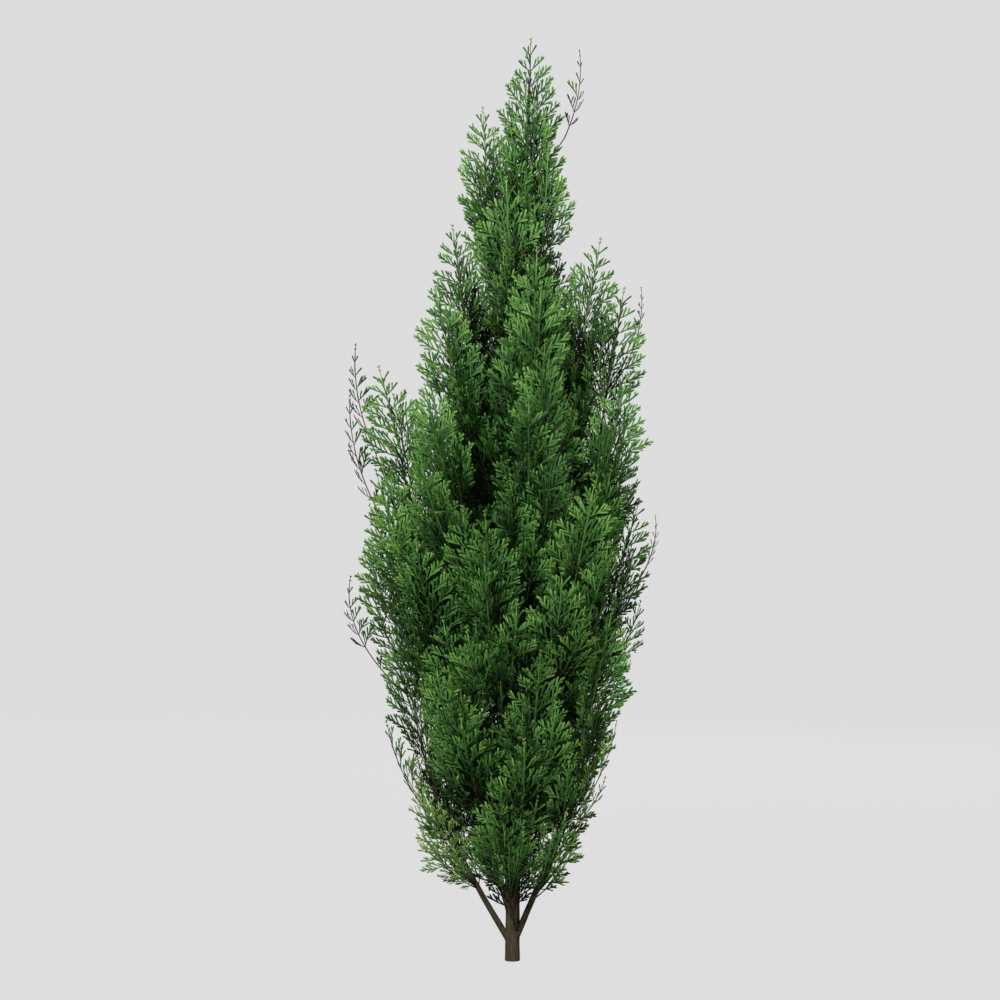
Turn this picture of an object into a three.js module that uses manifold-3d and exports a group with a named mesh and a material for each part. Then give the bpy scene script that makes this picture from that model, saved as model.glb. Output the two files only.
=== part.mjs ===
// A young cypress tree, rooted in level ground: one trunk, steep boughs that leave it low down,
// and rings of flame-shaped plumes of foliage that stand round it, up to a slender leader.
//
// Millimetres, +Z up, +X to the right and -Y to the front. The origin is the centre of the flat cut
// under the trunk, at ground level. A turn is a compass direction in degrees: 0 is to the right,
// 90 to the back, 180 to the left and 270 to the front.

import * as THREE from "three";
import { mergeVertices } from "three/addons/utils/BufferGeometryUtils.js";
import Module from "manifold-3d";

const wasm = await Module();
wasm.setup();

// ---- Driving dimensions ----

const HEIGHT = 2000; // ground to the tip of the leader
const GAP = 0.6; // clearance kept between one solid and the next

const TRUNK = {
  top: 1900, // where the wood ends, inside the leader
  radius: 16, // just above the root flare
  flare: 0.4, // how much wider the foot is than that
  flareHeight: 22, // height over which the flare dies away
  tipRadius: 2,
  lean: 36, // how far the top stands to the right of the foot
  sides: 10,
  steps: 10,
};

// How far the plumes' tips stand from the trunk's foot line, by height, on the right and the left.
const OUTLINE = {
  heights: [100, 300, 450, 650, 850, 1200, 1300, 1450, 1560, 1650, 1850, HEIGHT],
  right: [30, 140, 176, 212, 268, 286, 276, 258, 198, 102, 72, 40],
  left: [30, 190, 205, 246, 322, 342, 285, 215, 150, 112, 66, 20],
};

// A plume springs from the trunk, leans out and turns up to its tip. Its first stretch is a bare
// bough, where bare is that share of its length, and the rest is foliage of the ring's girth.
// Sweep says how far out the plume's line bends, as a share of its tip's reach. A plume may have a
// bare stretch or a sweep of its own.
const RINGS = [
  {
    name: "leader",
    girth: 72,
    bare: 0.42,
    sweep: 0.5,
    plumes: [{ turn: 0, spring: 1180, tip: HEIGHT }],
  },
  {
    name: "skirt",
    girth: 66,
    bare: 0.3,
    sweep: 0.6,
    plumes: [
      { turn: 184, spring: 115, tip: 355 },
      { turn: 262, spring: 50, tip: 430, bare: 0.22 },
      { turn: 8, spring: 110, tip: 400 },
      { turn: 70, spring: 90, tip: 400 },
      { turn: 128, spring: 80, tip: 420 },
    ],
  },
  {
    name: "lower",
    girth: 74,
    bare: 0.32,
    sweep: 0.62,
    boughRadius: 8,
    plumes: [
      { turn: 187, spring: 36, tip: 740, reach: 254, sweep: 0.73 },
      { turn: 238, spring: 190, tip: 760 },
      { turn: 284, spring: 170, tip: 690 },
      { turn: 328, spring: 38, tip: 770, bare: 0.42 },
      { turn: 8, spring: 210, tip: 740, sweep: 0.55 },
      { turn: 60, spring: 140, tip: 800 },
      { turn: 126, spring: 90, tip: 770 },
    ],
  },
  {
    name: "middle",
    girth: 92,
    bare: 0.36,
    sweep: 0.64,
    boughRadius: 5.6,
    plumes: [
      { turn: 164, spring: 360, tip: 990 },
      { turn: 213, spring: 400, tip: 1080 },
      { turn: 259, spring: 380, tip: 980 },
      { turn: 306, spring: 420, tip: 1040 },
      { turn: 353, spring: 350, tip: 1000 },
      { turn: 44, spring: 400, tip: 1100 },
      { turn: 102, spring: 380, tip: 1050 },
    ],
  },
  {
    name: "upper",
    girth: 92,
    bare: 0.16,
    sweep: 0.74,
    plumes: [
      { turn: 183, spring: 620, tip: 1290 },
      { turn: 234, spring: 660, tip: 1240 },
      { turn: 284, spring: 640, tip: 1330 },
      { turn: 330, spring: 640, tip: 1270 },
      { turn: 10, spring: 620, tip: 1465 },
      { turn: 74, spring: 660, tip: 1370 },
      { turn: 132, spring: 640, tip: 1300 },
    ],
  },
  {
    name: "shoulder",
    girth: 74,
    bare: 0.12,
    sweep: 0.74,
    plumes: [
      { turn: 170, spring: 960, tip: 1600 },
      { turn: 222, spring: 930, tip: 1450 },
      { turn: 285, spring: 970, tip: 1530 },
      { turn: 352, spring: 950, tip: 1565 },
      { turn: 56, spring: 980, tip: 1550 },
      { turn: 118, spring: 960, tip: 1500 },
    ],
  },
  {
    name: "crown",
    girth: 48,
    bare: 0.2,
    sweep: 0.9,
    sides: 7,
    plumes: [
      { turn: 192, spring: 1260, tip: 1850 },
      { turn: 262, spring: 1290, tip: 1690 },
      { turn: 326, spring: 1300, tip: 1760 },
      { turn: 40, spring: 1300, tip: 1900 },
      { turn: 120, spring: 1290, tip: 1780 },
    ],
  },
  {
    name: "wisp",
    girth: 13,
    bare: 0.45,
    sweep: 1.1,
    sides: 5,
    plumes: [
      { turn: 5, spring: 1660, tip: 1978, reach: 146 },
      { turn: 8, spring: 1150, tip: 1464, reach: 284 },
      { turn: 176, spring: 870, tip: 1340, reach: 342 },
      { turn: 190, spring: 800, tip: 1225, reach: 354 },
      { turn: 183, spring: 470, tip: 835, reach: 350 },
      { turn: 357, spring: 700, tip: 965, reach: 309 },
    ],
  },
];

// The plume's line bends at this share of its rise.
const BEND = 0.36;
// How far a bough runs on into its foliage, as a share of the plume's line.
const BOUGH_ENTRY = 0.03;
// A plume is this much thinner from front to back than from side to side.
const PLUME_DEPTH = 0.86;
// Exponents of the flame: how fast it swells from its foot and narrows to its tip.
const FLAME = { foot: 0.5, tip: 0.7 };
const PLUME_SIDES = 8;
const PLUME_BANDS = 7;
const BOUGH = { sides: 6, steps: 3, taper: 0.62 };

const COLOURS = { bark: 0x4a3f2f, foliage: 0x3f6b2c };

// ---- Lines that the pieces follow ----

// The trunk's own line, upright at the ground and leaning a little more the higher it gets.
class TrunkLine extends THREE.Curve {
  getPoint(t, target = new THREE.Vector3()) {
    const height = t * TRUNK.top;
    return target.set(trunkOffset(height), 0, height);
  }
}

function trunkOffset(height) {
  return TRUNK.lean * Math.pow(height / TRUNK.top, 1.5);
}

function trunkRadius(height) {
  const taper = THREE.MathUtils.lerp(TRUNK.radius, TRUNK.tipRadius, height / TRUNK.top);
  return taper + TRUNK.flare * Math.exp(-height / TRUNK.flareHeight);
}

// The crown's reach at a height and turn, worked out from its right and left outlines.
function crownReach(height, turn) {
  const { heights, right, left } = OUTLINE;
  const next = Math.max(1, heights.findIndex((h) => h >= height));
  const share = (height - heights[next - 1]) / (heights[next] - heights[next - 1]);
  const onRight = THREE.MathUtils.lerp(right[next - 1], right[next], share);
  const onLeft = THREE.MathUtils.lerp(left[next - 1], left[next], share);
  return THREE.MathUtils.lerp(onRight, onLeft, (1 - Math.cos(THREE.MathUtils.degToRad(turn))) / 2);
}

function plumeLine({ turn, spring, tip, reach, sweep }) {
  const far = reach ?? crownReach(tip, turn);
  const out = outward(turn);
  const start = new THREE.Vector3(trunkOffset(spring), 0, spring);
  const end = out.clone().multiplyScalar(far).setZ(tip);
  const bend = start.clone().lerp(end, sweep);
  bend.z = THREE.MathUtils.lerp(spring, tip, BEND);
  return new THREE.QuadraticBezierCurve3(start, bend, end);
}

function outward(turn) {
  const angle = THREE.MathUtils.degToRad(turn);
  return new THREE.Vector3(Math.cos(angle), Math.sin(angle), 0);
}

// ---- Shapes ----

// Keeps only where the points are, so that a closed surface shares its vertices.
function closed(geometry) {
  geometry.deleteAttribute("normal");
  geometry.deleteAttribute("uv");
  return mergeVertices(geometry, 1e-3);
}

// Moves each point of a unit shape that stands along Y to its place round a line. place gives the
// point's share of the line and its distance from it, across and in the line's own plane.
function wrap(geometry, line, side, place) {
  const points = geometry.getAttribute("position");
  const unit = new THREE.Vector3();
  for (let i = 0; i < points.count; i++) {
    unit.fromBufferAttribute(points, i);
    const { share, across, within } = place(unit);
    const tangent = line.getTangent(share);
    const inPlane = new THREE.Vector3().crossVectors(tangent, side).normalize();
    const at = line.getPoint(share).addScaledVector(inPlane, within).addScaledVector(side, across);
    points.setXYZ(i, at.x, at.y, at.z);
  }
  return geometry;
}

// A tapering limb along the stretch of a line between two shares of it.
function limb(line, side, from, to, radiusAt, sides, steps) {
  const tube = closed(new THREE.CylinderGeometry(1, 1, 1, sides, steps));
  return wrap(tube, line, side, ({ x, y, z }) => {
    const along = y + 0.5;
    const radius = radiusAt(along);
    return { share: THREE.MathUtils.lerp(from, to, along), across: z * radius, within: x * radius };
  });
}

// A number from 0 to 1 that is always the same for the same seed and index.
function chance(seed, index) {
  const wave = Math.sin(seed * 12.9898 + index * 78.233) * 43758.5453;
  return wave - Math.floor(wave);
}

function flameWidth(along) {
  const { foot, tip } = FLAME;
  const widest = foot / (foot + tip);
  const swell = (t) => Math.pow(t, foot) * Math.pow(1 - t, tip);
  return swell(along) / swell(widest);
}

// One mass of foliage: a flame from one share of its line to the tip, uneven all round.
function flame(line, side, from, { girth, sides = PLUME_SIDES }, seed) {
  const ball = closed(new THREE.SphereGeometry(1, sides, PLUME_BANDS));
  const phase = [0, 1, 2].map((k) => 2 * Math.PI * chance(seed, k));
  return wrap(ball, line, side, ({ x, y, z }) => {
    const along = THREE.MathUtils.clamp(Math.acos(-THREE.MathUtils.clamp(y, -1, 1)) / Math.PI, 0, 1);
    const round = Math.atan2(z, x);
    const ring = Math.hypot(x, z) > 1e-6 ? 1 : 0;
    const lumps =
      1 +
      0.12 * Math.sin(2 * round + phase[0] + 5 * along) +
      0.1 * Math.sin(3 * round + phase[1] - 9 * along) +
      0.06 * Math.sin(14 * along + phase[2]);
    const radius = ring * girth * flameWidth(along) * lumps;
    return {
      share: THREE.MathUtils.lerp(from, 1, along),
      across: Math.sin(round) * radius,
      within: Math.cos(round) * radius * PLUME_DEPTH,
    };
  });
}

// ---- Cutting solids round each other ----

function solidOf(geometry) {
  const vertProperties = new Float32Array(geometry.getAttribute("position").array);
  const triVerts = new Uint32Array(geometry.index.array);
  return new wasm.Manifold(new wasm.Mesh({ numProp: 3, vertProperties, triVerts }));
}

// The same surface pushed out by the gap, which is what its neighbours are cut by.
function grown(geometry) {
  const bigger = geometry.clone();
  bigger.computeVertexNormals();
  const points = bigger.getAttribute("position");
  const normals = bigger.getAttribute("normal");
  for (let i = 0; i < points.count; i++) {
    points.setXYZ(
      i,
      points.getX(i) + GAP * normals.getX(i),
      points.getY(i) + GAP * normals.getY(i),
      points.getZ(i) + GAP * normals.getZ(i),
    );
  }
  return solidOf(bigger);
}

// What is left of a shape outside its neighbours: its largest piece.
function cutRound(geometry, neighbours) {
  const rest = neighbours.reduce((solid, cutter) => solid.subtract(cutter), solidOf(geometry));
  const pieces = rest.decompose().sort((a, b) => b.volume() - a.volume());
  const { numProp, vertProperties, triVerts } = pieces[0].getMesh();
  const buffer = new THREE.InterleavedBuffer(vertProperties, numProp);
  const cut = new THREE.BufferGeometry();
  cut.setAttribute("position", new THREE.InterleavedBufferAttribute(buffer, 3, 0));
  cut.setIndex(new THREE.BufferAttribute(triVerts, 1));
  return cut;
}

// ---- The tree ----

const tree = new THREE.Group();
const bark = new THREE.MeshStandardMaterial({ color: COLOURS.bark, roughness: 0.9, metalness: 0 });
const leaf = new THREE.MeshStandardMaterial({ color: COLOURS.foliage, roughness: 0.6, metalness: 0 });

// Everything placed so far, a little larger, for the next piece to be cut round.
const placed = [];

function add(name, geometry, material) {
  const cut = placed.length ? cutRound(geometry, placed) : geometry;
  const mesh = new THREE.Mesh(cut, material);
  mesh.name = name;
  tree.add(mesh);
  placed.push(grown(geometry));
}

function addTrunk() {
  const side = new THREE.Vector3(0, 1, 0);
  const radiusAt = (along) => trunkRadius(along * TRUNK.top);
  add("trunk", limb(new TrunkLine(), side, 0, 1, radiusAt, TRUNK.sides, TRUNK.steps), bark);
}

// The bare stretch of a plume, up to a little way into its foliage.
function addBough(ring, plume, number) {
  const line = plumeLine(plume);
  const end = plume.bare + BOUGH_ENTRY;
  const radiusAt = (along) => ring.boughRadius * THREE.MathUtils.lerp(1, BOUGH.taper, along);
  const shape = limb(line, outward(plume.turn + 90), 0, end, radiusAt, BOUGH.sides, BOUGH.steps);
  add(`bough_${ring.name}_${number}`, shape, bark);
}

function addFoliage(plume, name, seed) {
  const shape = flame(plumeLine(plume), outward(plume.turn + 90), plume.bare, plume, seed);
  add(name, shape, leaf);
}

addTrunk();
for (const ring of RINGS) {
  if (ring.boughRadius) ring.plumes.forEach((plume, k) => addBough(ring, { ...ring, ...plume }, k + 1));
}
RINGS.forEach((ring, tier) => {
  ring.plumes.forEach((plume, k) => {
    const name = ring.plumes.length > 1 ? `foliage_${ring.name}_${k + 1}` : `foliage_${ring.name}`;
    addFoliage({ ...ring, ...plume }, name, 10 * tier + k);
  });
});

export default tree;
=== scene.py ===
"""The looks of a young columnar cypress: furrowed bark, limbs, and sprays of scale leaves, in a plain studio.

Everything is in metres, +Z up, with the front facing -Y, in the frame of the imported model.
"""

import math
from collections import namedtuple

import bmesh
import bpy
import numpy as np
from mathutils import Matrix, Vector, noise
from mathutils.bvhtree import BVHTree


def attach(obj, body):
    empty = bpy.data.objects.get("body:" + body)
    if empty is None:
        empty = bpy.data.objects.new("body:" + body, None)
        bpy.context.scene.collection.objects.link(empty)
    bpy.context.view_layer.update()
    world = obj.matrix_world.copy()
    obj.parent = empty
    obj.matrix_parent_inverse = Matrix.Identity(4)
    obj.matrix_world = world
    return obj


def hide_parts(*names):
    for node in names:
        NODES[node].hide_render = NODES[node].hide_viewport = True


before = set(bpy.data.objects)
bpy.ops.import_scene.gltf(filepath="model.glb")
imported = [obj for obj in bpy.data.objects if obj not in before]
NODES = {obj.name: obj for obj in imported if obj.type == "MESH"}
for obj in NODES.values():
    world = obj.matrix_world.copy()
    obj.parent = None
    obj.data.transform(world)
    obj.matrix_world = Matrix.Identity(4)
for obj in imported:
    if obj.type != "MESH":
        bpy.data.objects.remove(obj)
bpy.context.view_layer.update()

bl_info = {
    "name": "Young Cypress",
    "version": (1, 0, 0),
    "blender": (4, 5, 0),
    "location": "View3D > Sidebar > Cypress",
    "description": "Bark, limbs and sprays of scale leaves for a young columnar cypress, with a plain studio",
    "category": "Add Mesh",
}

TRUNK = "trunk"
BOUGHS = sorted(n for n in NODES if n.startswith("bough_"))
MASSES = sorted(n for n in NODES if n.startswith("foliage_"))

FRONT = np.array([0.0, -1.0, 0.0])
GOLDEN_ANGLE = math.pi * (3 - math.sqrt(5))
MILLIMETRE = 0.001
PIECE_TRIANGLES = 190_000


# ---- Sizes and colours ------------------------------------------------------------------------


class CypressBark(bpy.types.PropertyGroup):
    """The bark of the trunk, the boughs and the limbs."""

    ridge: bpy.props.FloatProperty(
        name="Ridge Height", description="How far the bark's ridges stand out on the trunk",
        default=0.9 * MILLIMETRE, unit="LENGTH",
    )
    dark: bpy.props.FloatVectorProperty(
        name="Furrow Colour", description="Colour at the bottom of the furrows",
        default=(0.016, 0.011, 0.005), subtype="COLOR",
    )
    light: bpy.props.FloatVectorProperty(
        name="Ridge Colour", description="Colour of the weathered ridges",
        default=(0.088, 0.067, 0.038), subtype="COLOR",
    )
    moss: bpy.props.FloatVectorProperty(
        name="Patch Colour", description="Colour of the greenish patches on old bark",
        default=(0.052, 0.050, 0.024), subtype="COLOR",
    )


class CypressSprays(bpy.types.PropertyGroup):
    """The flat sprays of scale leaves."""

    seed: bpy.props.IntProperty(
        name="Seed", description="Changes every chance in the branching", default=7, min=0,
    )
    variants: bpy.props.IntProperty(
        name="Variants", description="How many sprays of each length are grown", default=4, min=1,
    )
    lateral_step: bpy.props.FloatProperty(
        name="Lateral Spacing", description="Distance from one side shoot to the next on the same side",
        default=31 * MILLIMETRE, unit="LENGTH",
    )
    leaf_step: bpy.props.FloatProperty(
        name="Branchlet Spacing", description="Distance from one branchlet to the next on the same side",
        default=13 * MILLIMETRE, unit="LENGTH",
    )
    leaf_width: bpy.props.FloatProperty(
        name="Branchlet Width", description="Width of a branchlet over its scale leaves",
        default=4.3 * MILLIMETRE, unit="LENGTH",
    )
    spacing: bpy.props.FloatProperty(
        name="Spray Spacing", description="Distance from one spray's tip to the next on the crown",
        default=114 * MILLIMETRE, unit="LENGTH",
    )


class CypressStage(bpy.types.PropertyGroup):
    """The floor, the lights and the camera."""

    lens: bpy.props.FloatProperty(
        name="Lens", description="Focal length on a 36 mm sensor, in millimetres", default=85.0,
    )
    distance: bpy.props.FloatProperty(
        name="Distance", description="From the camera to the trunk", default=5.12, unit="LENGTH",
    )
    height: bpy.props.FloatProperty(
        name="Height", description="Of the camera above the ground", default=0.998, unit="LENGTH",
    )
    aside: bpy.props.FloatProperty(
        name="Aside", description="How far the camera stands to the right of the trunk",
        default=-0.027, unit="LENGTH",
    )
    backdrop: bpy.props.FloatProperty(
        name="Backdrop Glow", description="Brightness of the floor and the backdrop to the camera",
        default=0.713,
    )
    ambient: bpy.props.FloatProperty(
        name="Ambient Light", description="Brightness of the floor and the backdrop as a light on the tree",
        default=0.13,
    )
    sky: bpy.props.FloatProperty(
        name="Light from Above", description="Brightness of the open top of the studio", default=0.9,
    )
    key: bpy.props.FloatProperty(
        name="Key Light", description="Power of the main light", default=350.0, unit="POWER",
    )


SETTINGS = {"cypress_bark": CypressBark, "cypress_sprays": CypressSprays, "cypress_stage": CypressStage}


# ---- Lines of the limbs -----------------------------------------------------------------------


class Line:
    """A limb's line, as a place for each height, because every limb here only ever climbs."""

    def __init__(self, points, weights, low, high, degree=3):
        fit = np.polynomial.Polynomial.fit
        self.low, self.high = low, high
        self.x = fit(points[:, 2], points[:, 0], degree, w=weights)
        self.y = fit(points[:, 2], points[:, 1], degree, w=weights)

    def at(self, z):
        z = np.asarray(z, float)
        return np.stack([self.x(z), self.y(z), z], -1)

    def between(self, low, high, count):
        return self.at(np.linspace(low, high, count))


def node_triangles(name):
    """The corners of a CAD node's triangles, as an array of triangles by corners by places."""
    mesh = NODES[name].data
    mesh.calc_loop_triangles()
    places = np.empty(len(mesh.vertices) * 3, np.float32)
    mesh.vertices.foreach_get("co", places)
    corners = np.empty(len(mesh.loop_triangles) * 3, np.int32)
    mesh.loop_triangles.foreach_get("vertices", corners)
    return places.reshape(-1, 3)[corners].reshape(-1, 3, 3).astype(float)


def cross_centre(triangles, height):
    """The centre of a solid's outline at a height."""
    start, end = triangles, np.roll(triangles, -1, axis=1)
    below, above = start[..., 2] - height, end[..., 2] - height
    crossed = (below < 0) != (above < 0)
    whole = crossed.sum(1) == 2
    share = (below / (below - above + 1e-12))[..., None]
    cuts = (start + (end - start) * share)[whole][crossed[whole]].reshape(-1, 2, 3)
    length = np.linalg.norm(cuts[:, 0] - cuts[:, 1], axis=1)
    return (cuts.mean(1) * length[:, None]).sum(0) / length.sum()


def trunk_line():
    """The trunk's line, from the ground to its tip."""
    corners = node_triangles(TRUNK).reshape(-1, 3)
    return Line(corners, None, 0.0, corners[:, 2].max())


def radius_along(points, line):
    """A limb's radius at its low and its high end, from the points on its surface."""
    track = line.between(line.low, line.high, 900)
    away = np.linalg.norm(points[:, None] - track[None], axis=2).min(1)
    slope, base = np.polyfit(points[:, 2], away, 1)
    return base + slope * line.low, base + slope * line.high


def level(angle):
    """A level direction, by its turn from +X."""
    return np.array([math.cos(angle), math.sin(angle), 0.0])


def unit(rows):
    return rows / np.linalg.norm(rows, axis=1, keepdims=True)


class Plume:
    """One mass of foliage, with the bough that bears it, if any, and the line of the limb that runs up it.

    The limb leaves its bearer at line.low, and the bare part of it ends at bough_top. The foliage begins at
    foot and ends in tip.
    """

    SLICES = 9
    END_WEIGHT = 6
    STEEPNESS = 1.1

    def __init__(self, node, trunk, carriers):
        self.node = node
        self.ring = node.split("_")[1]
        triangles = node_triangles(node)
        corners = triangles.reshape(-1, 3)
        self.foot = corners[:, 2].min()
        self.tip = corners[corners[:, 2].argmax()]
        heights = np.linspace(self.foot, self.tip[2], self.SLICES + 2)[1:-1]
        centres = np.array([cross_centre(triangles, z) for z in heights])
        bough = node.replace("foliage", "bough")
        self.bough = bough if bough in NODES else None
        if self.bough:
            below = node_triangles(bough).reshape(-1, 3)
            join = below[:, 2].min()
            self.bough_top = below[:, 2].max()
        else:
            foot = centres[0]
            carrier = min(carriers, key=lambda line: np.linalg.norm(foot - line.at(foot[2])))
            away = np.linalg.norm((foot - carrier.at(foot[2]))[:2])
            join = max(foot[2] - self.STEEPNESS * away, carrier.low + 0.01)
            below = carrier.at([join])
            self.bough_top = join
        points = np.concatenate([below, centres, [self.tip]])
        weights = np.ones(len(points))
        weights[-1] = self.END_WEIGHT
        if not self.bough:
            weights[0] = self.END_WEIGHT
        self.line = Line(points, weights, join, self.tip[2], 4 if self.bough else 3)
        middle = (self.foot + self.tip[2]) / 2
        outward = (self.line.at(middle) - trunk.at(middle))[:2]
        self.outward = math.atan2(outward[1], outward[0])


class Crown:
    """All the masses but the wisps, as met by a level ray from outside towards the trunk."""

    # How far below the highest tip the shingles end.
    BARE_TOP = 0.13
    # The turns to both sides whose mean radius fills a cleft, and the share of it that counts.
    BESIDE = (-0.75, -0.4, 0.4, 0.75)
    FILL = 0.9
    # How far from the trunk a ray starts, and how near to it a mass is too near to count.
    OUTSIDE = 1.0
    NEAREST = 0.01

    def __init__(self, plumes, trunk):
        self.trunk = trunk
        self.plumes = [plume for plume in plumes if plume.ring != "wisp"]
        self.high = max(plume.tip[2] for plume in self.plumes) - self.BARE_TOP
        solids = [node_triangles(plume.node) for plume in self.plumes]
        self.owners = np.concatenate([np.full(len(solid), k) for k, solid in enumerate(solids)])
        corners = np.concatenate(solids).reshape(-1, 3)
        faces = np.arange(len(corners)).reshape(-1, 3)
        self.solid = BVHTree.FromPolygons(corners.tolist(), faces.tolist())

    def meet(self, z, turn):
        """The crown's radius at a height and turn, and the plume met there, if any."""
        out = Vector(level(turn))
        middle = Vector(self.trunk.at(z))
        hit, _, face, distance = self.solid.ray_cast(middle + out * self.OUTSIDE, -out)
        if not hit or distance > self.OUTSIDE - self.NEAREST:
            return 0.0, None
        return self.OUTSIDE - distance, self.plumes[self.owners[face]]

    def filled(self, z, turn):
        """The same, but nearly as wide in a cleft between plumes as the crown is on both sides of it."""
        radius, plume = self.meet(z, turn)
        beside = [self.meet(z, turn + step)[0] for step in self.BESIDE]
        return max(radius, self.FILL * np.mean(beside)), plume


# ---- Growing a spray --------------------------------------------------------------------------

# The branchlets along one side of a side shoot: the shortest shoot that has any there, where the first one
# is, their length as a share of the shoot's length ahead of them, the longest, and their range of angles.
Comb = namedtuple("Comb", ("shortest", "first", "ahead", "longest", "angles"))
INNER_COMB = Comb(30 * MILLIMETRE, 0.14, 0.46, 38 * MILLIMETRE, (0.55, 0.85))
OUTER_COMB = Comb(52 * MILLIMETRE, 0.36, 0.38, 30 * MILLIMETRE, (0.32, 0.55))


class Spray:
    """A flat spray of scale leaves, lying along U with V across it and W out of its face.

    It holds triangles, with two numbers for each: how young and how lit its green is painted, with painted
    shade in it, and which side shoot it is on, where 0 is the spray's own axis. shoot_tips says which point
    each side shoot ends in.
    """

    def __init__(self, kind, length, sizes, rng):
        self.kind = kind
        self.length = length
        self.sizes = sizes
        self.rng = rng
        self.points, self.faces, self.fresh, self.shoots = [], [], [], []
        self.count = 0
        self.shoot_tips = [0]
        self.grow()
        self.points = np.concatenate(self.points)
        self.faces = np.concatenate(self.faces)
        self.fresh = np.concatenate(self.fresh)
        self.shoots = np.concatenate(self.shoots)

    def lateral_length(self, from_tip):
        """The length of a side shoot, by its distance from the spray's tip."""
        from_base = self.length - from_tip
        long = np.interp(from_tip, *LATERAL_LENGTHS[self.kind])
        return long * min(1.0, 0.35 + from_base / 0.13)

    def on_axis(self, from_tip):
        return np.array([self.length - from_tip, 0])

    def walk(self, start, heading, bend, length, steps):
        """Places and headings along a shoot that turns evenly by bend over its length."""
        share = np.linspace(0, 1, steps + 1)
        headings = heading + bend * share
        step = length / steps
        middle = (headings[1:] + headings[:-1]) / 2
        moves = np.stack([np.cos(middle), np.sin(middle)], 1) * step
        places = start + np.concatenate([[[0, 0]], np.cumsum(moves, 0)])
        return places, headings

    def keep(self, points, faces, fresh):
        """Adds points and faces, with how young and how lit each face is painted, to the side shoot in hand.
        """
        self.points.append(points)
        self.faces.append(self.count + faces)
        self.fresh.append(fresh)
        self.shoots.append(np.full(len(faces), len(self.shoot_tips) - 1))
        self.count += len(points)

    def strip(self, places, headings, lifts, widths, fresh, tip_fresh):
        """A folded ribbon: a pair of edges and a ridge at every place but the last, its point."""
        count = len(places) - 1
        side = np.stack([-np.sin(headings), np.cos(headings)], 1)
        half = (np.asarray(widths) / 2)[:count, None]
        middle, aside = places[:count], side[:count] * half
        rows = np.empty((count, 3, 3))
        for column, share in enumerate((1, 0, -1)):
            rows[:, column, :2] = middle + share * aside
            rows[:, column, 2] = lifts[:count]
        rows[:, 1, 2] += 0.5 * half[:, 0]
        band = np.array([(0, 1, 3), (1, 4, 3), (1, 2, 4), (2, 5, 4)])
        tip = np.array([(0, 1, 3), (1, 2, 3)])
        faces = np.concatenate([band + 3 * row for row in range(count - 1)] + [tip + 3 * (count - 1)])
        points = np.concatenate([rows.reshape(-1, 3), [np.append(places[-1], lifts[-1])]])
        self.keep(points, faces, np.array([fresh] * (len(faces) - 2) + [tip_fresh] * 2))

    def fork(self, start, heading, lift, tilt, length, width, fresh):
        """The smallest branchlet: a kite with a ridge, of four faces."""
        along = np.array([math.cos(heading), math.sin(heading)])
        side = np.array([-along[1], along[0]]) * width / 2
        wide = start + along * 0.84 * length
        high = lift + tilt * 0.84 * length
        points = np.array([
            (*start, lift),
            (*(wide + side), high),
            (*wide, high + 0.25 * width),
            (*(wide - side), high),
            (*(start + along * length), lift + tilt * length),
        ])
        self.keep(points, np.array([(0, 2, 1), (0, 3, 2), (1, 2, 4), (2, 3, 4)]), np.full(4, fresh))

    def freshness_and_shade(self, place):
        """How young and how lit the green is painted at a place: younger towards the outline and the tip,
        darker at the base, as older growth and as painted shade under the sprays in front.
        """
        from_tip = max(self.length - place[0], 0.004)
        edge = abs(place[1]) / max(0.75 * self.lateral_length(from_tip), 0.012)
        # Darker towards the base: older growth, and painted shade from the sprays that lie over it.
        low = max(0, from_tip / self.length - 0.35)
        return 0.2 + 0.36 * min(edge, 1.1) ** 1.4 + 0.16 * max(0, 1 - from_tip / 0.09) - 0.6 * low

    def branchlet(self, start, heading, lift, side, length):
        """A branchlet with its forks. side is +1 or -1, the way it leaves its shoot."""
        rng, sizes = self.rng, self.sizes
        width = sizes.leaf_width * rng.uniform(0.88, 1.12)
        tilt = rng.normal(0, 0.17)
        bend = -side * rng.uniform(0.1, 0.35)
        places, headings = self.walk(start, heading, bend, length, 2)
        blunt = 1 - min(0.4, 0.9 * width / length)
        places[1] = places[0] + (places[2] - places[0]) * blunt
        lifts = lift + tilt * np.array([0, blunt, 1]) * length
        fresh = self.freshness_and_shade(places[-1]) + rng.normal(0, 0.045)
        self.strip(places, headings, lifts, (0.6 * width, 0.95 * width, 0), fresh, fresh + 0.17)
        turn = side
        at = 0.42 * length
        while length > 26 * MILLIMETRE and at < length - 9 * MILLIMETRE:
            share = at / length
            place = places[0] + (places[2] - places[0]) * share
            size = min(0.45 * (length - at) + 6 * MILLIMETRE, 18 * MILLIMETRE) * rng.uniform(0.85, 1.1)
            way = heading + bend * share + turn * rng.uniform(0.3, 0.48)
            own_tilt = tilt + rng.normal(0, 0.15)
            self.fork(place, way, lift + tilt * at, own_tilt, size, 0.9 * width, fresh + 0.09)
            turn = -turn
            at += 11 * MILLIMETRE * rng.uniform(0.8, 1.2)

    def lateral(self, from_tip, side, length):
        """A side shoot with its comb of branchlets, more of them on the side towards the spray's tip."""
        rng, sizes = self.rng, self.sizes
        near_tip = from_tip < 50 * MILLIMETRE
        heading = side * (rng.uniform(0.6, 0.8) if near_tip else rng.uniform(0.88, 1.1))
        bend = -side * (rng.uniform(-0.1, 0.1) if near_tip else rng.uniform(0.1, 0.4))
        places, headings = self.walk(self.on_axis(from_tip), heading, bend, length, 4)
        tilt = rng.normal(0, 0.09)
        lifts = tilt * np.linspace(0, length, 5)
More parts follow.
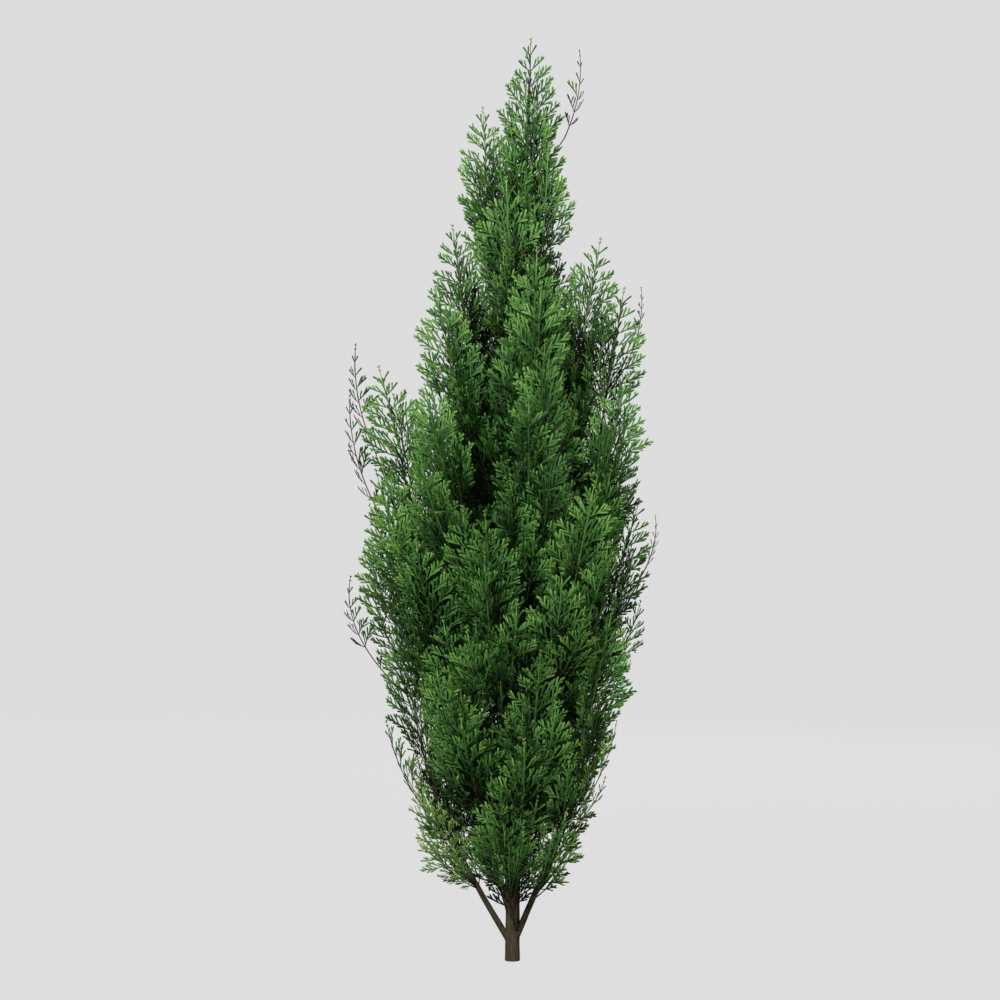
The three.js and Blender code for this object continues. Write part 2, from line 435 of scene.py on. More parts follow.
        # The last pair of edges moves out towards the tip, so that the shoot ends bluntly.
        places[3] += (places[4] - places[3]) * 0.6
        marks = np.array([0, 0.25, 0.5, 0.9, 1])
        fresh = self.freshness_and_shade(places[2]) - 0.05
        self.shoot_tips.append(self.count + 3 * (len(places) - 1))
        widths = sizes.leaf_width * np.array([0.5, 0.55, 0.75, 1, 0])
        self.strip(places, headings, lifts, widths, fresh, fresh + 0.2)
        for hand in (1, -1):
            comb = INNER_COMB if hand * side < 0 else OUTER_COMB
            if length < comb.shortest:
                continue
            at = max(comb.first * length, 9 * MILLIMETRE) * rng.uniform(0.8, 1.2)
            while at < length - 10 * MILLIMETRE:
                share = at / length
                place = [np.interp(share, marks, places[:, k]) for k in (0, 1)]
                size = comb.ahead * (length - at) + 8 * MILLIMETRE
                size = min(size, comb.longest) * rng.uniform(0.85, 1.1)
                way = heading + bend * share + hand * rng.uniform(*comb.angles)
                self.branchlet(np.array(place), way, tilt * at, hand, size)
                at += sizes.leaf_step * rng.uniform(0.85, 1.2)

    def grow(self):
        """The spray's own axis, green over its upper part, with all that stands on both sides of it."""
        width = self.sizes.leaf_width
        stations = np.linspace(0.42, 1.0, 6)
        wobble = np.array([0, 1, -1, 1, -0.5, 0]) * 0.6 * MILLIMETRE
        places = np.stack([stations * self.length, wobble], 1)
        widths = width * np.array([0.6, 0.65, 0.7, 0.75, 0.75, 0])
        self.strip(places, np.zeros(6), np.full(6, 0.4 * MILLIMETRE), widths, 0.45, 0.75)
        for side in (1, -1):
            self.grow_side(side)

    def grow_side(self, side):
        """Two nubs at the tip, then side shoots, and in a frond a few branchlets between them."""
        rng, sizes = self.rng, self.sizes
        from_tip = rng.uniform(5, 9) * MILLIMETRE
        for _ in range(2):
            heading, width = side * rng.uniform(0.4, 0.65), 0.7 * sizes.leaf_width
            self.fork(self.on_axis(from_tip), heading, 0.0, 0.0, 6.5 * MILLIMETRE, width, 0.72)
            from_tip += rng.uniform(8, 11) * MILLIMETRE
        from_tip = rng.uniform(38, 46) * MILLIMETRE
        while from_tip < 0.93 * self.length:
            size = self.lateral_length(from_tip) * rng.uniform(0.88, 1.1)
            if from_tip < 0.7 * self.length or rng.random() > 0.35:
                self.lateral(from_tip, side, size)
            from_tip += sizes.lateral_step * rng.uniform(0.85, 1.15)
        from_tip = rng.uniform(54, 64) * MILLIMETRE
        while self.kind == "frond" and from_tip < 0.55 * self.length:
            heading = side * rng.uniform(0.2, 0.45)
            length = rng.uniform(20, 31) * MILLIMETRE
            self.branchlet(self.on_axis(from_tip), heading, 0.0, side, length)
            from_tip += 24 * MILLIMETRE * rng.uniform(0.8, 1.2)


# Distance from a spray's tip, and the length of the side shoots there, for each kind of spray.
LATERAL_LENGTHS = {
    "frond": (
        (0.0, 0.043, 0.078, 0.11, 0.15, 0.2, 0.26, 0.32, 0.38),
        (0.024, 0.029, 0.048, 0.068, 0.087, 0.1, 0.092, 0.067, 0.044),
    ),
    "whip": (
        (0.0, 0.05, 0.1, 0.16, 0.25, 0.38),
        (0.012, 0.02, 0.042, 0.062, 0.07, 0.05),
    ),
}
SPRAY_LENGTHS = (0.2, 0.26, 0.32, 0.38)


def grow_sprays(sizes):
    """Several sprays of each kind and length, for the crown to draw from."""
    sprays = {}
    for number, kind in enumerate(LATERAL_LENGTHS):
        for length in SPRAY_LENGTHS:
            seed = [sizes.seed, number, round(length / MILLIMETRE)]
            rngs = [np.random.default_rng([*seed, k]) for k in range(sizes.variants)]
            sprays[kind, length] = [Spray(kind, length, sizes, rng) for rng in rngs]
    return sprays


# ---- Placing the sprays -----------------------------------------------------------------------


class Placing:
    """Where one spray goes: the curve that its axis follows, the way its face looks, and its looks.

    twist turns the face from base to tip, curl bends both sides back, and margin is how far outside the
    masses a side shoot may end.
    """

    SAMPLES = 14

    def __init__(self, plume, start, bend, end, facing, twist, curl, fresh, margin, mirror=False):
        share = np.linspace(0, 1, self.SAMPLES)[:, None]
        self.curve = (1 - share) ** 2 * start + 2 * share * (1 - share) * bend + share**2 * end
        steps = np.linalg.norm(np.diff(self.curve, axis=0), axis=1)
        self.run = np.concatenate([[0], np.cumsum(steps)])
        self.length = self.run[-1]
        self.plume = plume
        self.kind = "whip" if plume.ring == "wisp" else "frond"
        self.facing, self.twist, self.curl = facing, twist, curl
        self.fresh, self.margin, self.mirror = fresh, margin, mirror

    def axes(self):
        """The spray's across and out-of-face directions at each sample of the curve."""
        along = unit(np.gradient(self.curve, axis=0))
        out = unit(self.facing - along * (along @ self.facing)[:, None])
        across = np.cross(along, out)
        angle = (self.twist * self.run / self.length)[:, None]
        return (
            across * np.cos(angle) + out * np.sin(angle),
            out * np.cos(angle) - across * np.sin(angle),
        )

    def bend_round(self, spray):
        """The spray's points, laid along the curve."""
        scale = self.length / spray.length
        u, v, w = (spray.points * scale).T
        if self.mirror:
            v = -v
        across, out = self.axes()

        def follow(samples):
            return np.stack([np.interp(u, self.run, samples[:, k]) for k in range(3)], 1)

        lift = (w - self.curl * v * v)[:, None]
        return follow(self.curve) + v[:, None] * follow(across) + lift * follow(out)


def pruned(spray, points, crown, margin):
    """The faces of a laid-out spray whose side shoots end in the crown's masses, or this near to them."""
    keep = np.ones(len(spray.shoot_tips), bool)
    for number, tip in enumerate(spray.shoot_tips[1:], 1):
        spot = Vector(points[tip])
        near, normal, _, away = crown.solid.find_nearest(spot)
        keep[number] = away < margin or (spot - near).dot(normal) < 0
    return keep[spray.shoots]


def turned(direction, angle):
    """A level direction, turned round the upright."""
    return level(math.atan2(direction[1], direction[0]) + angle)


def tip_placings(plume, rng):
    """The sprays that end a plume: one faces the front, and others cross it, a little lower."""
    placings = []
    leader = plume.ring == "leader"
    height = plume.tip[2] - plume.line.low
    for drop, turn in ((0.0, 0.0), (0.06, 1.2), (0.1, -0.9))[: 3 if leader else 2]:
        top = plume.tip[2] - drop
        length = min(0.38, 0.8 * height) * rng.uniform(0.92, 1.0)
        end = plume.line.at(top) if drop else plume.tip
        end = end + level(rng.uniform(0, 2 * math.pi)) * (0.02 if drop else 0.0)
        start = plume.line.at(max(top - length, plume.foot))
        bend = plume.line.at(max(top - length / 2, plume.foot + 0.01))
        facing = turned(FRONT, turn + rng.uniform(-0.25, 0.25))
        twist, curl = rng.uniform(-0.5, 0.5), rng.uniform(0, 2.5)
        fresh = 0.02 + YOUTH.get(plume.ring, 0.0) + rng.normal(0, 0.04)
        margin = 0.07 if leader else 0.05
        placings.append(Placing(plume, start, bend, end, facing, twist, curl, fresh, margin))
    return placings


# The crown's layers of sprays, from the outside in.
Layer = namedtuple(
    "Layer",
    (
        "least",  # how far a spray's tip stands inside the crown, as a share of the way to the trunk
        "most",
        "fresher",  # how much younger its green is painted; the inner layers' minus values are painted shade deep in the crown as well as older growth
        "spacing",  # from one spray to the next, over the usual
        "thinnest",  # the thinnest crown that has this layer
        "margin",  # how far outside the masses a side shoot may end
        "low",  # where its lowest tips are
    ),
)
# The inner layers' greens are painted darker: painted shade deep in the crown, as well as older growth.
LAYERS = (
    Layer(-0.02, 0.07, 0.0, 1.0, 0.0, 0.028, 0.24),
    Layer(0.12, 0.27, -0.22, 0.88, 0.08, 0.035, 0.24),
    Layer(0.34, 0.52, -0.42, 0.9, 0.13, 0.07, 0.36),
    Layer(0.58, 0.8, -0.6, 1.1, 0.14, 0.2, 0.36),
)
# The margin where a cleft in the crown is filled.
CLEFT_MARGIN = 0.09
# How much fresher the sprays of some rings are, or older if it is below nothing.
YOUTH = {"leader": -0.04, "skirt": 0.03}
# How much lighter shingles are painted near the ground on the left and the right, as painted light shining
# through from behind, and the height where that ends.
LOW_PAINTED_LIGHT = 0.8
LOW_PAINTED_LIGHT_TOP = 0.75
# The lowest place where a shingle starts, and the least height that it climbs.
LOWEST_START = 0.12
LEAST_CLIMB = 0.14


def crown_placings(crown, sizes):
    """Sprays all over the crown like shingles, faces outward, each growing from the limb behind it."""
    placings = []
    for number, layer in enumerate(LAYERS):
        rng = np.random.default_rng([sizes.seed, 50 + number])
        top, turn = layer.low, rng.uniform(0, 2 * math.pi)
        while top < crown.high:
            turn += GOLDEN_ANGLE
            radius, plume = crown.filled(top, turn)
            step = (layer.spacing * sizes.spacing) ** 2 / (2 * math.pi * max(radius, 0.1))
            if plume and radius > layer.thinnest:
                in_cleft = radius > crown.meet(top, turn)[0] + 0.02
                margin = CLEFT_MARGIN if in_cleft else layer.margin
                radius *= 1 - rng.uniform(layer.least, layer.most)
                placings.append(shingle(crown, plume, top, turn, radius, layer.fresher, margin, rng))
            top += step * rng.uniform(0.8, 1.2)
    return placings


def core_placings(crown, sizes):
    """Old sprays close round the trunk, which shut out the light from behind; their near-black green is
    painted shade of the crown's inside as well as their age.
    """
    lowest, highest, rise, length = 0.34, 1.62, 0.032, 0.24
    rng = np.random.default_rng([sizes.seed, 70])
    placings = []
    for index, top in enumerate(np.arange(lowest, highest, rise)):
        turn = index * GOLDEN_ANGLE
        plume = crown.meet(top, turn)[1]
        if not plume:
            continue
        start = crown.trunk.at(top - length)
        end = crown.trunk.at(top) + level(turn) * rng.uniform(0.03, 0.09)
        bend = (start + end) / 2 + level(turn) * 0.02
        facing = turned(FRONT, rng.uniform(0, 2 * math.pi))
        # The -0.6 paints these sprays near black: painted shade inside the crown.
        placings.append(Placing(plume, start, bend, end, facing, 0.3, 1.0, -0.6, 0.3))
    return placings


# Low sprays that stand clear of the crown: the mass that each belongs to, the height where it starts on that
# mass's limb or below it on the trunk, the place of its tip, and how much younger its green is painted, where
# the high values of the bright clump on foliage_lower_1 are painted light as well as new growth.
LOW_SPRAYS = (
    # The bright clump on foliage_lower_1: its high values are painted light as well as new growth.
    ("foliage_lower_1", 0.185, (-0.196, -0.045, 0.345), 0.32),
    ("foliage_lower_1", 0.175, (-0.204, -0.060, 0.268), 0.28),
    ("foliage_lower_1", 0.155, (-0.160, -0.070, 0.232), 0.06),
    ("foliage_lower_1", 0.158, (-0.064, -0.055, 0.330), 0.1),
    ("foliage_skirt_2", 0.104, (-0.030, -0.070, 0.310), -0.12),
    ("foliage_skirt_2", 0.100, (0.012, -0.080, 0.330), -0.06),
    ("foliage_skirt_2", 0.094, (-0.052, -0.050, 0.300), -0.08),
    ("foliage_lower_4", 0.140, (0.084, -0.135, 0.290), 0.0),
    ("foliage_lower_4", 0.165, (0.116, -0.105, 0.345), 0.12),
)
# How far the middle of such a spray bows out, as shares of its run from start to tip.
BOWED = np.array([0.12, 0.1, -0.12])


def low_placings(plumes, crown, sizes):
    """The low sprays, with their faces to the front."""
    placings = []
    for index, (node, height, end, fresh) in enumerate(LOW_SPRAYS):
        rng = np.random.default_rng([sizes.seed, 90 + index])
        plume = next(plume for plume in plumes if plume.node == node)
        bearer = plume.line if height > plume.line.low else crown.trunk
        start, end = bearer.at(height), np.array(end)
        bend = (start + end) / 2 + (end - start) * BOWED
        facing, curl = turned(FRONT, rng.uniform(-0.3, 0.3)), rng.uniform(0.5, 2.5)
        placings.append(Placing(plume, start, bend, end, facing, 0.2, curl, fresh, 0.12))
    return placings


def shingle(crown, plume, top, turn, radius, fresher, margin, rng):
    """One spray of the crown, by its tip's height, turn and distance from the trunk."""
    direction = level(turn)
    length = rng.choice((0.3, 0.34, 0.38)) * rng.uniform(0.92, 1.05)
    low = max(top - length, plume.foot - 0.02, LOWEST_START)
    low = min(low, top - LEAST_CLIMB)
    start = plume.line.at(max(low, plume.line.low))
    end = crown.trunk.at(top) + direction * radius
    bend = start + (end - start) * np.array([0.8, 0.8, 0.42])
    facing = turned(direction, rng.normal(0, 0.75 if fresher < -0.3 else 0.5))
    twist, curl = rng.normal(0, 0.35), rng.uniform(0.5, 4.0)
    fresh = fresher + YOUTH.get(plume.ring, 0.0) + rng.normal(0, 0.05)
    # Painted light: low shingles to the left and the right are lighter, as if lit through from behind.
    fresh += LOW_PAINTED_LIGHT * max(0, 1 - top / LOW_PAINTED_LIGHT_TOP) * direction[0] ** 2
    return Placing(plume, start, bend, end, facing, twist, curl, fresh, margin, rng.random() < 0.5)


def wisp_placing(plume, rng):
    """A lone thin spray, with its face outward and a little to one side."""
    start, end = plume.line.at(plume.foot), plume.tip
    middle = (start + end) / 2
    bend = middle + 2 * (plume.line.at(middle[2]) - middle)
    facing = turned(level(plume.outward), rng.choice((-0.5, 0.5)))
    return Placing(plume, start, bend, end, facing, 0.2, 7.0, 0.0, 1.0)


def all_placings(plumes, crown, sizes):
    """Every spray's place: the plumes' ends, the lone wisps, the low ones, the shingles and the core."""
    placings = []
    for index, plume in enumerate(plumes):
        rng = np.random.default_rng([sizes.seed, 1000 + index])
        placings += [wisp_placing(plume, rng)] if plume.ring == "wisp" else tip_placings(plume, rng)
    placings += low_placings(plumes, crown, sizes)
    return placings + crown_placings(crown, sizes) + core_placings(crown, sizes)


def nearest_spray(sprays, placing, index):
    """The grown spray of the right kind and nearest in length, each of its variants in turn."""
    size = min(SPRAY_LENGTHS, key=lambda known: abs(known - placing.length))
    variants = sprays[placing.kind, size]
    return variants[index % len(variants)]


# ---- Meshes from arrays -----------------------------------------------------------------------


class Heap:
    """Triangles gathered from many small things, to be joined into one mesh."""

    def __init__(self):
        self.points, self.faces, self.greens = [], [], []
        self.nodes = []
        self.count = 0
        self.triangles = 0

    def add(self, points, faces, greens):
        self.points.append(points)
        self.faces.append(faces + self.count)
        self.greens.append(greens)
        self.count += len(points)
        self.triangles += len(faces)

    def mesh(self, name):
        points = np.concatenate(self.points).astype(np.float32)
        faces = np.concatenate(self.faces).astype(np.int32)
        mesh = bpy.data.meshes.new(name)
        mesh.vertices.add(len(points))
        mesh.vertices.foreach_set("co", points.ravel())
        mesh.loops.add(faces.size)
        mesh.loops.foreach_set("vertex_index", faces.ravel())
        mesh.polygons.add(len(faces))
        mesh.polygons.foreach_set("loop_start", np.arange(0, faces.size, 3, dtype=np.int32))
        mesh.polygons.foreach_set("material_index", np.concatenate(self.greens).astype(np.int32))
        mesh.polygons.foreach_set("use_smooth", np.ones(len(faces), bool))
        mesh.update(calc_edges=True)
        mesh.validate()
        return mesh


def tube(path, radii, sides):
    """A tapering tube of triangles along a path, open at both ends."""
    along = unit(np.gradient(path, axis=0))
    side = unit(np.cross(along, FRONT))
    other = np.cross(along, side)
    angles = np.linspace(0, 2 * math.pi, sides, endpoint=False)[None, :, None]
    ring = side[:, None] * np.cos(angles) + other[:, None] * np.sin(angles)
    points = (path[:, None] + ring * radii[:, None, None]).reshape(-1, 3)
    rows, corners = np.arange(len(path) - 1)[:, None] * sides, np.arange(sides)
    here, beside = rows + corners, rows + (corners + 1) % sides
    lower = np.stack([here, beside, here + sides], -1).reshape(-1, 3)
    upper = np.stack([beside, beside + sides, here + sides], -1).reshape(-1, 3)
    return points, np.concatenate([lower, upper])


# ---- Materials --------------------------------------------------------------------------------


def new_material(name):
    material = bpy.data.materials.new(name)
    material.use_nodes = True
    return material, material.node_tree.nodes, material.node_tree.links


def add_node(nodes, kind, inputs=None, **settings):
    """A new node with its settings, and then with values on its inputs."""
    node = nodes.new(kind)
    for name, value in settings.items():
        setattr(node, name, value)
    for name, value in (inputs or {}).items():
        node.inputs[name].default_value = value
    return node


def connect(links, *joins):
    """Links nodes, each join given as a node, its output, the next node and its input."""
    for source, output, target, name in joins:
        links.new(source.outputs[output], target.inputs[name])


def fibres_group():
    """Upright fibres and broad patches, from places on the object: shared by every kind of bark."""
    group = bpy.data.node_groups.get("upright_fibres")
    if group:
        return group
    group = bpy.data.node_groups.new("upright_fibres", "ShaderNodeTree")
    face = group.interface
    face.new_socket("Vector", in_out="INPUT", socket_type="NodeSocketVector")
    for name, value in (("Fibres per Metre", 260.0), ("Patches per Metre", 30.0), ("Contrast", 1.0)):
        socket = face.new_socket(name, in_out="INPUT", socket_type="NodeSocketFloat")
        socket.default_value = value
    face.new_socket("Fibres", in_out="OUTPUT", socket_type="NodeSocketFloat")
    face.new_socket("Patches", in_out="OUTPUT", socket_type="NodeSocketFloat")
    nodes = group.nodes
    given, result = nodes.new("NodeGroupInput"), nodes.new("NodeGroupOutput")
    stretch = add_node(nodes, "ShaderNodeVectorMath", {1: (1.0, 1.0, 0.09)}, operation="MULTIPLY")
    fibre = add_node(nodes, "ShaderNodeTexNoise", {"Detail": 4.0, "Roughness": 0.6, "Distortion": 0.35})
    patch = add_node(nodes, "ShaderNodeTexNoise", {"Detail": 2.0})
    sharpen = add_node(nodes, "ShaderNodeMapRange", {"From Min": 0.34, "From Max": 0.66})
    power = add_node(nodes, "ShaderNodeMath", operation="POWER", use_clamp=True)
    connect(
        group.links,
        (given, "Vector", stretch, 0),
        (stretch, 0, fibre, "Vector"),
        (given, "Fibres per Metre", fibre, "Scale"),
        (given, "Vector", patch, "Vector"),
        (given, "Patches per Metre", patch, "Scale"),
        (fibre, "Fac", sharpen, "Value"),
        (sharpen, "Result", power, 0),
        (given, "Contrast", power, 1),
        (power, 0, result, "Fibres"),
        (patch, "Fac", result, "Patches"),
    )
    return group


def bark_material(name, bark, fibres, contrast, relief):
    """Grey-brown bark with upright fibres, darker in the furrows and greenish in patches."""
    material = bpy.data.materials.get(name)
    if material:
        return material
    material, nodes, links = new_material(name)
    shader = nodes["Principled BSDF"]
    shader.inputs["Specular IOR Level"].default_value = 0.25
    place = nodes.new("ShaderNodeTexCoord")
    group = nodes.new("ShaderNodeGroup")
    group.node_tree = fibres_group()
    group.inputs["Fibres per Metre"].default_value = fibres
    group.inputs["Contrast"].default_value = contrast
    colours = {"A": (*bark.dark, 1), "B": (*bark.light, 1)}
    ridge = add_node(nodes, "ShaderNodeMix", colours, data_type="RGBA")
    spread = add_node(nodes, "ShaderNodeMapRange", {"From Min": 0.52, "From Max": 0.68, "To Max": 0.55})
    mossy = add_node(nodes, "ShaderNodeMix", {"B": (*bark.moss, 1)}, data_type="RGBA")
    rough = add_node(nodes, "ShaderNodeMapRange", {"To Min": 0.95, "To Max": 0.72})
    bump = add_node(nodes, "ShaderNodeBump", {"Strength": 0.6, "Distance": relief})
    connect(
        links,
        (place, "Object", group, "Vector"),
        (group, "Fibres", ridge, "Factor"),
        (group, "Patches", spread, "Value"),
        (spread, "Result", mossy, "Factor"),
        (ridge, "Result", mossy, "A"),
        (mossy, "Result", shader, "Base Color"),
        (group, "Fibres", rough, "Value"),
        (rough, "Result", shader, "Roughness"),
        (group, "Fibres", bump, "Height"),
        (bump, "Normal", shader, "Normal"),
    )
    return material


# From a near black that is painted shade inside the crown, through the oldest, deepest green, to the
# yellow-green of new tips.
GREENS = (
    # The first, near black, is painted shade, dealt to the crown's inside and to the sprays' bases.
    ("green_painted_shade", (0.004, 0.014, 0.002)),
    ("green_deep", (0.014, 0.046, 0.008)),
    ("green_old", (0.032, 0.094, 0.018)),
    ("green_full", (0.062, 0.168, 0.034)),
    ("green_bright", (0.100, 0.228, 0.044)),
    ("green_fresh", (0.150, 0.290, 0.056)),
    ("green_tip", (0.220, 0.335, 0.082)),
)
STEM_GREEN = ("stem_green", (0.050, 0.085, 0.026))
STEM_BROWN = ("stem_brown", (0.058, 0.038, 0.020))


def plain_material(name, colour, roughness=0.5):
    """One plain colour: the crown's pattern comes from how these are dealt out."""
    material = bpy.data.materials.get(name)
    if material:
        return material
    material, nodes, _ = new_material(name)
    shader = nodes["Principled BSDF"]
    shader.inputs["Base Color"].default_value = (*colour, 1)
    shader.inputs["Roughness"].default_value = roughness
    shader.inputs["Specular IOR Level"].default_value = 0.14
    return material


# ---- Pieces -----------------------------------------------------------------------------------


def add_object(name, data):
    made = bpy.data.objects.new(name, data)
    bpy.context.scene.collection.objects.link(made)
    return made


def smooth_mesh(name, bm):
    """Turns a bmesh into a smooth-shaded mesh and frees it."""
    mesh = bpy.data.meshes.new(name)
    bm.to_mesh(mesh)
    bm.free()
    mesh.shade_smooth()
    return mesh


def finish_piece(mesh, materials, nodes):
    """Makes a mesh a piece that rides on the tree and stands for CAD nodes."""
    for material in materials:
        mesh.materials.append(material)
    piece = add_object(mesh.name, mesh)
    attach(piece, "root")
    if nodes:
        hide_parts(*nodes)
    return piece


def add_limb(bm, path, radii, sides, ridge, seed):
    """One bark-covered limb in a bmesh: a circle, extruded ring by ring, with furrows pressed in."""
    along = np.gradient(path, axis=0)
    ring = bmesh.ops.create_circle(bm, cap_ends=False, segments=sides, radius=1.0)["verts"]
    first = edges = list(dict.fromkeys(edge for vert in ring for edge in vert.link_edges))
    rows = [ring]
    for _ in range(len(path) - 1):
        grown = bmesh.ops.extrude_edge_only(bm, edges=edges)["geom"]
        edges = [part for part in grown if isinstance(part, bmesh.types.BMEdge)]
        rows.append([part for part in grown if isinstance(part, bmesh.types.BMVert)])
    for row, place, way, radius in zip(rows, path, along, radii):
        turn = Vector((0, 0, 1)).rotation_difference(Vector(way))
        matrix = Matrix.Translation(place) @ turn.to_matrix().to_4x4()
        for vert in row:
            spot = vert.co.copy()
            fold = 1 - 2 * abs(noise.noise((spot.x * 3.2, spot.y * 3.2, place[2] * 14 + seed)))
            fine = noise.noise((spot.x * 9, spot.y * 9, place[2] * 40 + seed))
            raised = min(ridge, 0.07 * radius) * (0.75 * fold + 0.35 * fine - 0.6)
            vert.co = matrix @ (spot * (radius + raised))
    bmesh.ops.edgenet_fill(bm, edges=first)
    bmesh.ops.edgenet_fill(bm, edges=edges)


def bark_mesh(name, limbs):
    """Joins limbs, each a path with its radii, sides, ridge height and seed, into one mesh."""
    bm = bmesh.new()
    for limb in limbs:
        add_limb(bm, *limb)
    bmesh.ops.recalc_face_normals(bm, faces=bm.faces)
    return smooth_mesh(name, bm)


class Tree:
    """What the operators share: the trunk's line, the plumes and the crown, read from the frame once."""

    trunk = None
    plumes = None
    crown = None

    @classmethod
    def read(cls):
        if cls.trunk is None:
            cls.trunk = trunk_line()
            borne = [bough.replace("bough", "foliage") for bough in BOUGHS]
            known = {node: Plume(node, cls.trunk, []) for node in borne}
            carriers = [cls.trunk] + [plume.line for plume in known.values() if plume.ring == "lower"]
            cls.plumes = [known.get(node) or Plume(node, cls.trunk, carriers) for node in MASSES]
            cls.crown = Crown(cls.plumes, cls.trunk)


class CYPRESS_OT_trunk(bpy.types.Operator):
    """Makes the trunk, with furrowed bark from the flat cut to inside the leader"""

    bl_idname = "cypress.trunk"
    bl_label = "Trunk"
    SIDES = 40
    BARE_TOP = 0.3
    BARE_RINGS, HIDDEN_RINGS = 120, 130
    FLARE = 22 * MILLIMETRE

    def execute(self, context):
        Tree.read()
        bark = context.scene.cypress_bark
        line = Tree.trunk
        points = node_triangles(TRUNK).reshape(-1, 3)
        foot, tip = radius_along(points[points[:, 2] > 0.1], line)
        bare = np.linspace(0, self.BARE_TOP, self.BARE_RINGS, endpoint=False)
        hidden = np.linspace(self.BARE_TOP, line.high, self.HIDDEN_RINGS)
        heights = np.concatenate([bare, hidden])
        widest = np.linalg.norm(points[points[:, 2] < 0.001][:, :2], axis=1).max()
        radii = foot + (tip - foot) * heights / line.high
        radii += (widest - foot) * np.exp(-heights / self.FLARE)
        mesh = bark_mesh("trunk_bark", [(line.at(heights), radii, self.SIDES, bark.ridge, 3.0)])
        material = bark_material("bark_trunk", bark, 260.0, 1.1, 0.8 * MILLIMETRE)
        finish_piece(mesh, [material], [TRUNK])
        return {"FINISHED"}


class CYPRESS_OT_boughs(bpy.types.Operator):
    """Makes the bare boughs that leave the trunk and carry the lower rings of plumes"""

    bl_idname = "cypress.boughs"
    bl_label = "Boughs"
    RINGS, SIDES = 60, 16

    def execute(self, context):
        Tree.read()
        bark = context.scene.cypress_bark
        material = bark_material("bark_bough", bark, 340.0, 1.3, 0.5 * MILLIMETRE)
        for ring in ("lower", "middle"):
            plumes = [p for p in Tree.plumes if p.bough and p.ring == ring]
            limbs = [self.limb(plume, bark, seed) for seed, plume in enumerate(plumes)]
            mesh = bark_mesh(f"boughs_{ring}", limbs)
            finish_piece(mesh, [material], [p.bough for p in plumes])
        return {"FINISHED"}

    def limb(self, plume, bark, seed):
        points = node_triangles(plume.bough).reshape(-1, 3)
        line = Line(points, None, points[:, 2].min(), plume.bough_top, 2)
        thick, thin = radius_along(points, line)
        path = plume.line.between(plume.line.low, plume.bough_top, self.RINGS)
        radii = np.linspace(thick, thin, self.RINGS)
        return path, radii, self.SIDES, 0.45 * bark.ridge, 5.0 + seed


class CYPRESS_OT_limbs(bpy.types.Operator):
    """Makes the woody limbs that run on inside the plumes, tapering towards the tips"""

    bl_idname = "cypress.limbs"
    bl_label = "Limbs"
    RINGS, SIDES = 16, 8

    def execute(self, context):
        Tree.read()
        bark = context.scene.cypress_bark
        limbs = [self.limb(plume, bark, seed) for seed, plume in enumerate(Tree.plumes)]
        material = bark_material("bark_limb", bark, 420.0, 1.5, 0.3 * MILLIMETRE)
        finish_piece(bark_mesh("limbs", limbs), [material], [])
        return {"FINISHED"}

    def limb(self, plume, bark, seed):
        start = plume.bough_top - 0.01 if plume.bough else plume.line.low
        end = plume.tip[2] - min(0.17 if plume.bough else 0.3, 0.5 * (plume.tip[2] - start))
        thick = 3.6 * MILLIMETRE if plume.bough else 4.2 * MILLIMETRE
        if plume.ring == "wisp":
            end, thick = plume.foot + 0.01, 2 * MILLIMETRE
        radii = np.linspace(thick, 0.9 * MILLIMETRE, self.RINGS)
        path = plume.line.between(start, end, self.RINGS)
        return path, radii, self.SIDES, 0.3 * bark.ridge, 30.0 + seed


class CYPRESS_OT_foliage(bpy.types.Operator):
    """Makes the sprays of scale leaves and the stems that carry them, in place of the masses"""

    bl_idname = "cypress.foliage"
    bl_label = "Foliage"
    STEM_SIDES = 3
    # The share of a stem that is brown, from its base.
    BROWN = 0.3

    def execute(self, context):
        Tree.read()
        sizes = context.scene.cypress_sprays
        sprays = grow_sprays(sizes)
        greens = [plain_material(name, colour) for name, colour in GREENS]
        stems = Heap()
        groups = {plume.node: [] for plume in Tree.plumes}
        for placing in all_placings(Tree.plumes, Tree.crown, sizes):
            groups[placing.plume.node].append(placing)
        heap, number = Heap(), 1
        for index, node in enumerate(sorted(groups)):
            # Each mass begins with another of the spray variants.
            own = enumerate(groups[node], 7 * index)
            parts = [self.spray(placing, sprays, count, stems) for count, placing in own]
            triangles = sum(len(faces) for _, faces, _ in parts)
            if heap.triangles + triangles > PIECE_TRIANGLES:
                finish_piece(heap.mesh(f"sprays_{number}"), greens, heap.nodes)
                heap, number = Heap(), number + 1
            for part in parts:
                heap.add(*part)
            heap.nodes.append(node)
        finish_piece(heap.mesh(f"sprays_{number}"), greens, heap.nodes)
        wood = [plain_material(*STEM_BROWN, 0.8), plain_material(*STEM_GREEN, 0.6)]
        finish_piece(stems.mesh("stems"), wood, [])
        return {"FINISHED"}

    def spray(self, placing, sprays, index, stems):
        """One spray as points, faces and greens, with its stem added to a heap."""
        spray = nearest_spray(sprays, placing, index)
        points = placing.bend_round(spray)
        kept = pruned(spray, points, Tree.crown, placing.margin)
        # The spray's own green plus its placing's, which holds painted shade and painted light as well as
        # age.
        fresh = np.clip(spray.fresh[kept] + placing.fresh, 0, 0.999)
        used, faces = np.unique(spray.faces[kept], return_inverse=True)
        faces = faces.reshape(-1, 3)
        if placing.mirror:
            faces = faces[:, ::-1]
        radii = np.linspace(1.7, 0.7, len(placing.curve)) * MILLIMETRE
        stem_points, stem_faces = tube(placing.curve, radii, self.STEM_SIDES)
        rows = stem_faces.min(1) // self.STEM_SIDES
        green = rows > self.BROWN * len(placing.curve)
        stems.add(stem_points, stem_faces, green.astype(int))
        return points[used], faces, (fresh * len(GREENS)).astype(int)


